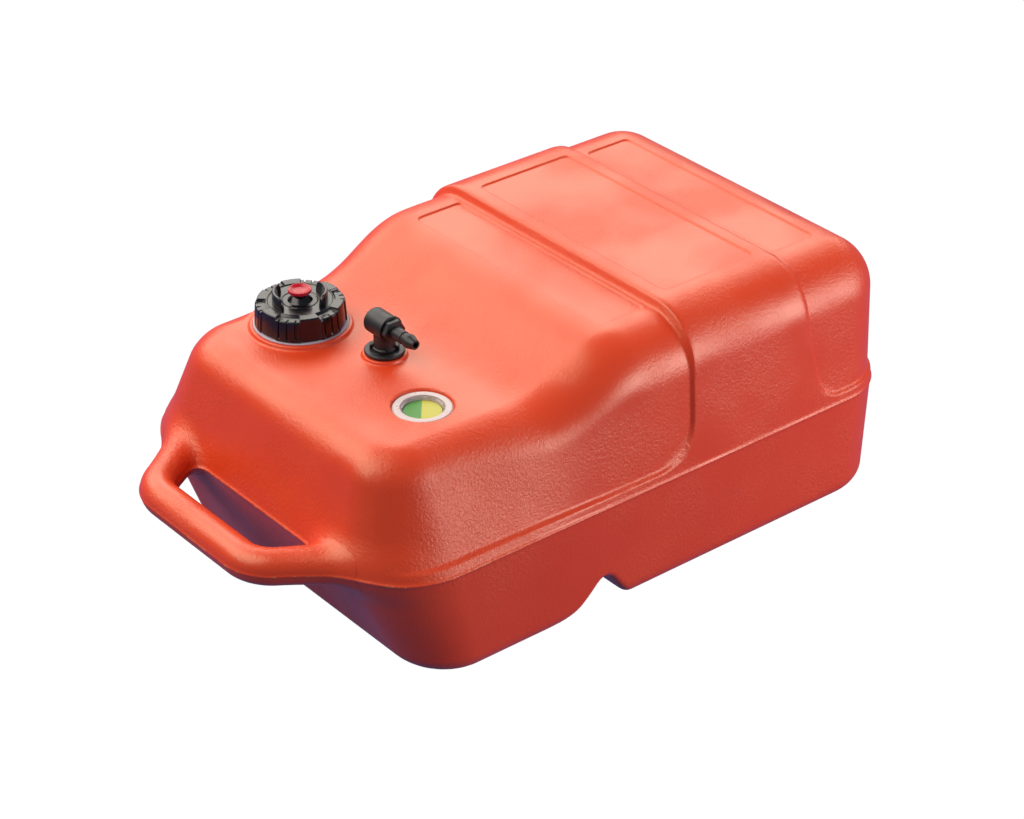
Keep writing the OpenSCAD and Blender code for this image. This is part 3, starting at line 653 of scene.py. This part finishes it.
def cap_skin():
    """Skirt and top in one polar grid. Six sectors of 34 degrees stand 1.2 mm proud and carry
    three slots each; over them the rim drops to a shelf, notched by the same slots. In the
    middle a groove runs round the cone that carries the vent knob."""
    top_r = CAP_R - DRAFT
    outline = rounded([[CAP_R - 5, SKIRT_Z + 0.5], [CAP_R - 4.6, SKIRT_Z, 0.2],
                       [CAP_R, SKIRT_Z, 0.7], [top_r, CAP_TOP, 1.3], [SHELF_R, CAP_TOP, 0.1],
                       [30, CAP_TOP, 0.6], [29.2, CAP_TOP - 0.9, 0.6], [17.4, CAP_TOP - 0.9, 0.3],
                       [16.9, CAP_TOP - 1.5, 0.3], [16.1, CAP_TOP - 1.5, 0.3],
                       [15.6, CAP_TOP - 0.9, 0.3], [11.3, CAP_TOP - 0.9, 1.6],
                       [6.8, CONE_Z, 0.5], [3.2, CONE_Z]], 5)
    pieces_out = [outline[0]]
    for a, b in zip(outline, outline[1:]):
        m = max(1, int(np.linalg.norm(b - a) / 1.5))
        pieces_out.extend(a + (b - a) * (k + 1) / m for k in range(m))
    r, z = np.array(pieces_out).T
    n = 1080
    a = np.arange(n)[:, None] * 360 / n
    local = (a - LOBE_AT + 30) % 60 - 30
    proud = 1 - ease(16.0, 17.2, np.abs(local))
    slot = sum(1 - ease(0.9, 1.6, np.abs(local - s)) for s in (-11, 0, 11))
    shelf = ease(SHELF_R - 0.8, SHELF_R + 0.4, r)[None]
    skirt = ease(top_r - 3.4, top_r - 1.0, r)[None]
    open_low = ease(SKIRT_Z + 1.6, SKIRT_Z + 3.0, z)[None]
    over = ease(CAP_TOP - 4, CAP_TOP - 1, z)[None]
    radius = r - 1.2 * (1 - proud) * skirt - 1.7 * slot * proud * skirt * open_low
    height = z - SHELF * proud * shelf * over
    height = height - 1.2 * slot * proud * ease(top_r - 3.6, top_r - 2.4, r)[None] * over
    t = np.radians(a)
    points = np.stack([CAP[0] + radius * np.cos(t), CAP[1] + radius * np.sin(t),
                       height + 0 * t], -1)
    return points, grid_faces(n, len(r), close_u=True)


def fin(middle):
    """Finger ridge: a rounded slab along an arc of 94 degrees, whose ends slope down."""
    n, m = 71, 32
    t = np.linspace(-1, 1, n)[:, None]
    around = np.linspace(0, TAU, m, endpoint=False)[None]
    fall = np.clip(1 - np.abs(t) ** 9, 0, 1)
    top = CAP_TOP - 2 + (FIN_UP + 2) * fall ** 0.7
    width = 2.1 * np.clip(1 - np.abs(t) ** 14, 0, 1) ** 0.5 + 1e-4
    c, s = np.cos(around), np.sin(around)
    side = np.sign(c) * np.abs(c) ** 0.5
    lift = (1 + np.sign(s) * np.abs(s) ** 0.35) / 2
    z = CAP_TOP - 2 + (top - CAP_TOP + 2) * lift
    r = FIN_R + width * side * (1 - 0.3 * lift)
    a = np.radians(middle + FIN_HALF * t)
    points = np.stack([CAP[0] + r * np.cos(a), CAP[1] + r * np.sin(a), z], -1)
    return points, grid_faces(n, m, close_v=True)


piece("cap_skirt_and_top", [cap_skin(), fin(149.5), fin(-30.5)], "cap",
      cap_black, ["filler_cap"])

# Vent knob: a dished red head on a black screw
KNOB_R, KNOB_Z = 10.75, CONE_Z + 1.24
piece("vent_knob_head", [turned(
    [[0, KNOB_Z + 2.6], [KNOB_R - 4.5, KNOB_Z + 3.2, 4], [KNOB_R - 1.5, KNOB_Z + 5.1, 0.8],
     [KNOB_R - 0.3, KNOB_Z + 5.3, 0.6], [KNOB_R, KNOB_Z + 2.4, 0.8],
     [7.4, KNOB_Z + 0.9, 1.5], [6.2, KNOB_Z + 0.1, 0.3], [4.6, KNOB_Z + 0.1]], CAP, 96)],
    "knob", knob_red, ["vent_knob"])
piece("vent_knob_screw", [turned(
    [[5.2, KNOB_Z + 0.2], [5.2, KNOB_Z, 0.1], [3, KNOB_Z, 0.1], [3, CAP_TOP - 13, 0.2],
     [2.4, CAP_TOP - 14], [0, CAP_TOP - 14]], CAP, 72)], "knob", cap_black,
    ["vent_knob"])

# ---------------------------------------------------------------- outlet
FLANGE_Z, FLANGE_TOP, FLANGE_R = 217.1, 220.1, 18.5
ELBOW_Z, BARREL_H, BARREL_R = 220.5, 243.0, 12.0
LIP_Y, NUT_Y = -10.3, -11.3
AXIS = (OUTLET[0], 0.0, BARREL_H)
HOOK_SWEEP = 26


def hook(start):
    """One of the flange's four hooks: its outline carried over HOOK_SWEEP degrees, and closed
    at the ends."""
    outline = rounded([[11.5, FLANGE_TOP - 1], [13.5, FLANGE_TOP - 1],
                       [13.5, FLANGE_TOP + 3.2, 0.5], [12.5, FLANGE_TOP + 4.2, 0.5],
                       [10.3, FLANGE_TOP + 4.2, 0.3], [10.3, FLANGE_TOP + 2.6, 0.2],
                       [11.5, FLANGE_TOP + 2.6, 0.3], [11.5, FLANGE_TOP - 1]], 4)
    end = start + HOOK_SWEEP
    a = np.radians(np.concatenate([[start], np.linspace(start, end, 14), [end]]))
    middle = outline.mean(0)
    sections = np.repeat(outline[None], len(a), 0)
    sections[0] = sections[-1] = middle
    points = np.stack([OUTLET[0] + sections[..., 0] * np.cos(a)[:, None],
                       OUTLET[1] + sections[..., 0] * np.sin(a)[:, None], sections[..., 1]], -1)
    return points, grid_faces(len(a), len(outline), close_v=True)


flange = turned([[6.55, FLANGE_TOP - 13], [6.55, FLANGE_TOP, 0.3], [FLANGE_R, FLANGE_TOP, 1.3],
                 [FLANGE_R, FLANGE_Z, 0.8], [11.5, FLANGE_Z, 0.2], [11.5, 196.2], [3, 196.2]],
                OUTLET, 96)
piece("outlet_flange", [flange] + [hook(90 * k + 32) for k in range(4)], "tank",
      nylon_black, ["outlet_base"])

stem = turned([[3, FLANGE_TOP - 13], [6.5, FLANGE_TOP - 13, 0.4], [6.5, FLANGE_TOP - 9],
               [4.9, FLANGE_TOP - 9], [4.9, FLANGE_TOP - 6.8], [6.5, FLANGE_TOP - 6.8],
               [6.5, ELBOW_Z], [11.1, ELBOW_Z, 0.3], [11.1, ELBOW_Z + 1.7, 0.4],
               [9.8, ELBOW_Z + 2.2, 0.5], [9.8, BARREL_H - 6]], OUTLET, 96)
barrel = along_y([[0, 16], [BARREL_R, 16, 2.6], [BARREL_R, LIP_Y + 3, 0.2],
                  [BARREL_R + 0.6, LIP_Y + 2.2, 0.3], [BARREL_R + 0.6, LIP_Y, 0.5],
                  [6, LIP_Y, 0.2], [6, LIP_Y + 2]], AXIS, 96)
piece("outlet_elbow_shell", [stem, barrel], "outlet", nylon_black,
      ["outlet_elbow"])


def six_sided(a):
    """Radius of a hexagon with softened corners over that of its corner circle."""
    edge = np.cos(math.pi / 6) / np.cos((a + math.pi / 6) % (math.pi / 3) - math.pi / 6)
    return np.minimum(edge, 0.985)


nut = along_y([[6.2, NUT_Y + 0.02], [11.2, NUT_Y, 0.2], [11.6, NUT_Y - 0.6, 0.3],
               [11.6, NUT_Y - 4.6, 0.3], [11.0, NUT_Y - 5.2, 0.2], [5.8, NUT_Y - 5.2]],
              AXIS, 144, six_sided)
barb = along_y([[6.2, NUT_Y - 5], [6.2, -29.4, 0.5], [5.4, -30.2, 0.4], [5.4, -34.4, 0.4],
                [6.5, -34.7, 0.3], [6.7, -35.2, 0.2], [6.7, -37.5, 0.9], [4.5, -45.6, 0.5],
                [4.2, -46, 0.3], [2.7, -46, 0.3], [2.7, -30]], AXIS, 72)
inside = along_y([[2.7, -30], [2.7, -2], [6, -2, 0.3], [6, NUT_Y]], AXIS, 48)
piece("barbed_nipple", [nut, barb, inside], "outlet", nylon_black,
      ["hose_nipple"])

# ---------------------------------------------------------------- kept CAD nodes
FINISHES = {
    "filler_neck": neck_white, "cap_gasket": seal_black, "vent_washer": seal_black,
    "outlet_gasket": seal_black, "elbow_oring": seal_black, "nipple_washer": seal_black,
    "pickup_tube": neck_white, "pickup_filter": mesh_black, "gauge_housing": frosted,
    "gauge_lens": window_clear, "gauge_dial": dial_material(), "gauge_gasket": seal_black,
    "gauge_stem": strip_material(), "gauge_guide": mesh_black, "float_body": float_black,
    "tank_shell": tank_red, "filler_cap": cap_black, "vent_knob": knob_red,
    "outlet_base": nylon_black, "outlet_elbow": nylon_black, "hose_nipple": nylon_black}
for name, finish in FINISHES.items():
    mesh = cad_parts[name].data
    mesh.materials.clear()
    mesh.materials.append(finish)

# ---------------------------------------------------------------- stage and light


def make_floor():
    """Pale matt studio floor. To the camera and through glass it is mostly white; a gloss
    shows it dimmer and bluish, as shaded paper. It keeps the shadow."""
    size = 6.0
    data = bpy.data.meshes.new("studio_floor")
    data.from_pydata([(-size, -size, 0), (size, -size, 0), (size, size, 0), (-size, size, 0)], [],
                     [(0, 1, 2, 3)])
    floor = bpy.data.objects.new("studio_floor", data)
    bpy.context.scene.collection.objects.link(floor)
    made = bpy.data.materials.new("white_paper")
    made.use_nodes = True
    tree = made.node_tree
    tree.nodes.clear()
    path = add(tree, "ShaderNodeLightPath")
    direct = add(tree, "ShaderNodeMath", {0: path.outputs["Is Camera Ray"],
                                          1: path.outputs["Is Transmission Ray"]},
                 operation="MAXIMUM")
    seen = add(tree, "ShaderNodeMath", {0: direct.outputs[0], 1: path.outputs["Is Glossy Ray"]},
               operation="MAXIMUM")
    tint = blend(tree, direct.outputs[0], colour("#5E669C"), colour("#FFFFFF"))
    paper = add(tree, "ShaderNodeBsdfDiffuse", {"Color": colour("#484E62")})
    white = add(tree, "ShaderNodeEmission", {"Color": tint, "Strength": 1.17})
    part = add(tree, "ShaderNodeMath", {0: seen.outputs[0], 1: 0.86}, operation="MULTIPLY")
    mix = add(tree, "ShaderNodeMixShader", {0: part.outputs[0], 1: paper.outputs[0],
                                            2: white.outputs[0]})
    add(tree, "ShaderNodeOutputMaterial", {"Surface": mix.outputs[0]})
    data.materials.append(made)


def make_world():
    """White surroundings; as light they are dimmer than what the camera sees."""
    world = bpy.data.worlds.new("white_studio")
    bpy.context.scene.world = world
    world.use_nodes = True
    tree = world.node_tree
    tree.nodes.clear()
    sky = add(tree, "ShaderNodeBackground", {"Color": colour("#DCE4FF"), "Strength": 0.21})
    white = add(tree, "ShaderNodeBackground", {"Color": colour("#FFFFFF"), "Strength": 1.0})
    path = add(tree, "ShaderNodeLightPath")
    mix = add(tree, "ShaderNodeMixShader", {0: path.outputs["Is Camera Ray"], 1: sky.outputs[0],
                                            2: white.outputs[0]})
    add(tree, "ShaderNodeOutputWorld", {"Surface": mix.outputs[0]})


# what the lamps look at, in metres
LAMP_AIM = np.array([0.0, 0.0, 0.15])


def lamp(name, azimuth, elevation, distance, size, power, tint):
    """Soft light, size = (width, height), that looks at the tank from that direction."""
    a, e = math.radians(azimuth), math.radians(elevation)
    data = bpy.data.lights.new(name, "AREA")
    data.shape, data.size, data.size_y, data.energy = "RECTANGLE", size[0], size[1], power
    data.color = colour(tint)[:3]
    made = bpy.data.objects.new(name, data)
    bpy.context.scene.collection.objects.link(made)
    back = np.array([math.cos(a) * math.cos(e), math.sin(a) * math.cos(e), math.sin(e)])
    right = np.array([-math.sin(a), math.cos(a), 0.0])
    up = np.cross(back, right)
    made.matrix_world = facing(right, up, back, LAMP_AIM + back * distance)


make_floor()
make_world()
bpy.context.scene.view_settings.view_transform = "Standard"
# A lamp's azimuth counts from +X, where the camera stands at -129. The wide back light is
# about where the flat top mirrors it.
lamp("back_softbox", 62, 36, 2.6, (4.8, 1.6), 78, "#FFF8EC")
lamp("front_softbox", 152, 48, 2.4, (2.6, 2.0), 58, "#FFF6E8")
lamp("rear_side_softbox", -58, 9, 1.6, (1.3, 0.7), 18, "#F8F0FA")
